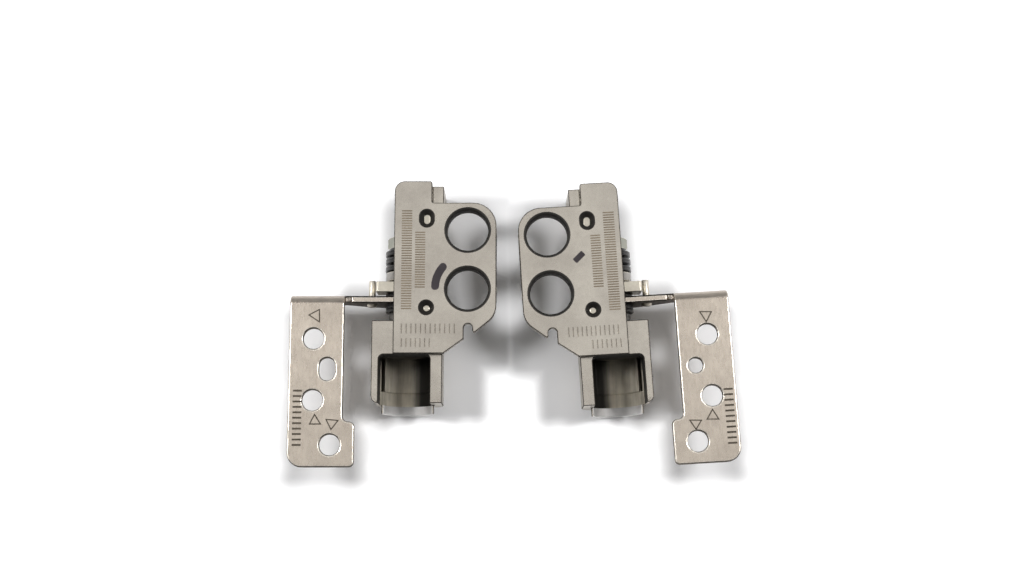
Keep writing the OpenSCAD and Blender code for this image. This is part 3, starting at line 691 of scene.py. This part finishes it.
# the paper glows white for the camera, except close to the hinges, where it keeps their shadow:
# the distance to the nearest of each hinge's boxes, in its own axes, sets how much
glowLook = {"near": 0.0, "far": 0.004, "least": 0.0, "most": 0.6}
shadedBoxes = {
    "plate": {"x": (-2.3, 13.8), "y": (-4.9, 19.0)},
    "block": {"x": (-9.0, 9.5), "y": (-12.4, -0.3)},
    "leaf": {"x": (-16.7, -8.9), "y": (-21.6, 2.9)},
    "arm": {"x": (-9.0, 0.0), "y": (0.0, 4.5)}}
endless = (-1000, 1000)
spot = addNode(paperTree, "ShaderNodeTexCoord").outputs["Object"]
nearest = None
for hinge in hinges.values():
    away = vectorOf(paperTree, "SUBTRACT", spot, hinge["pivot"] / perMetre)
    turned = [vectorOf(paperTree, "DOT_PRODUCT", away, axis) for axis in hinge["axes"][:2]]
    local = addNode(paperTree, "ShaderNodeCombineXYZ", {0: turned[0], 1: turned[1]}).outputs[0]
    for box in shadedBoxes.values():
        low, high = np.array([box["x"], box["y"], endless]).T / perMetre
        apart = vectorOf(paperTree, "ABSOLUTE", vectorOf(paperTree, "SUBTRACT", local, (low + high) / 2))
        beyond = vectorOf(paperTree, "SUBTRACT", apart, (high - low) / 2)
        reach = vectorOf(paperTree, "LENGTH", vectorOf(paperTree, "MAXIMUM", beyond, (0, 0, 0)))
        nearest = reach if nearest is None else mathOf(paperTree, "MINIMUM", nearest, reach)
white = smoothStep(paperTree, nearest, *glowLook.values())
glow = mathOf(paperTree, "MULTIPLY", shows, white)
paperTree.links.new(glow, paperShader.inputs["Emission Strength"])
floorMesh.materials.append(paper)

# the room is darker on the camera's side, which the faces that look that way show
world = bpy.data.worlds.new("softRoom")
scene.world = world
world.use_nodes = True
roomTree = world.node_tree
background = roomTree.nodes["Background"]
background.inputs["Color"].default_value = (1.0, 0.995, 0.985, 1)
sky = addNode(roomTree, "ShaderNodeTexCoord").outputs["Generated"]
heading = addNode(roomTree, "ShaderNodeSeparateXYZ", {"Vector": sky}).outputs
roomLook = {"from": -0.75, "to": -0.05, "dark": 0.03, "light": 0.14}
room = smoothStep(roomTree, heading["Y"], *roomLook.values())
# low down all round, metal mirrors pale walls, which the view from above doesn't show
wallLook = {"low": 0.5, "high": 0.82, "bright": 0.5, "none": 0.0}
walls = smoothStep(roomTree, heading["Z"], *wallLook.values())
mirrors = addNode(roomTree, "ShaderNodeLightPath").outputs["Is Glossy Ray"]
strength = mathOf(roomTree, "ADD", room, mathOf(roomTree, "MULTIPLY", walls, mirrors))
roomTree.links.new(strength, background.inputs["Strength"])

lamps = {"leftSoftbox": {"at": (-0.17, 0.04, 0.2), "size": 0.06, "watts": 0.33},
    "rightSoftbox": {"at": (0.17, 0.04, 0.2), "size": 0.06, "watts": 0.33},
    "topSoftbox": {"at": (0.0, 0.10, 0.5), "size": 0.36, "watts": 0.34}}
for name, lamp in lamps.items():
    light = bpy.data.lights.new(name, "AREA")
    light.size = lamp["size"]
    light.energy = lamp["watts"]
    holder = bpy.data.objects.new(name, light)
    holder.location = lamp["at"]
    holder.rotation_euler = (-Vector(lamp["at"])).to_track_quat("-Z", "Y").to_euler()
    holder.visible_camera = False
    scene.collection.objects.link(holder)

cameraLook = {"tilt": 9.6, "lens": 50.98, "fromLeftPivot": (15.017, -29.91, 208.85)}
camera = bpy.data.cameras.new("photoCamera")
camera.lens = cameraLook["lens"]
camera.sensor_width = 36
camera.clip_start = 0.01
cameraHolder = bpy.data.objects.new("photoCamera", camera)
cameraHolder.location = (hinges["left"]["pivot"] + cameraLook["fromLeftPivot"]) / perMetre
cameraHolder.rotation_euler = (radians(cameraLook["tilt"]), 0, 0)
scene.collection.objects.link(cameraHolder)
scene.camera = cameraHolder
print("table, lamps and camera placed")
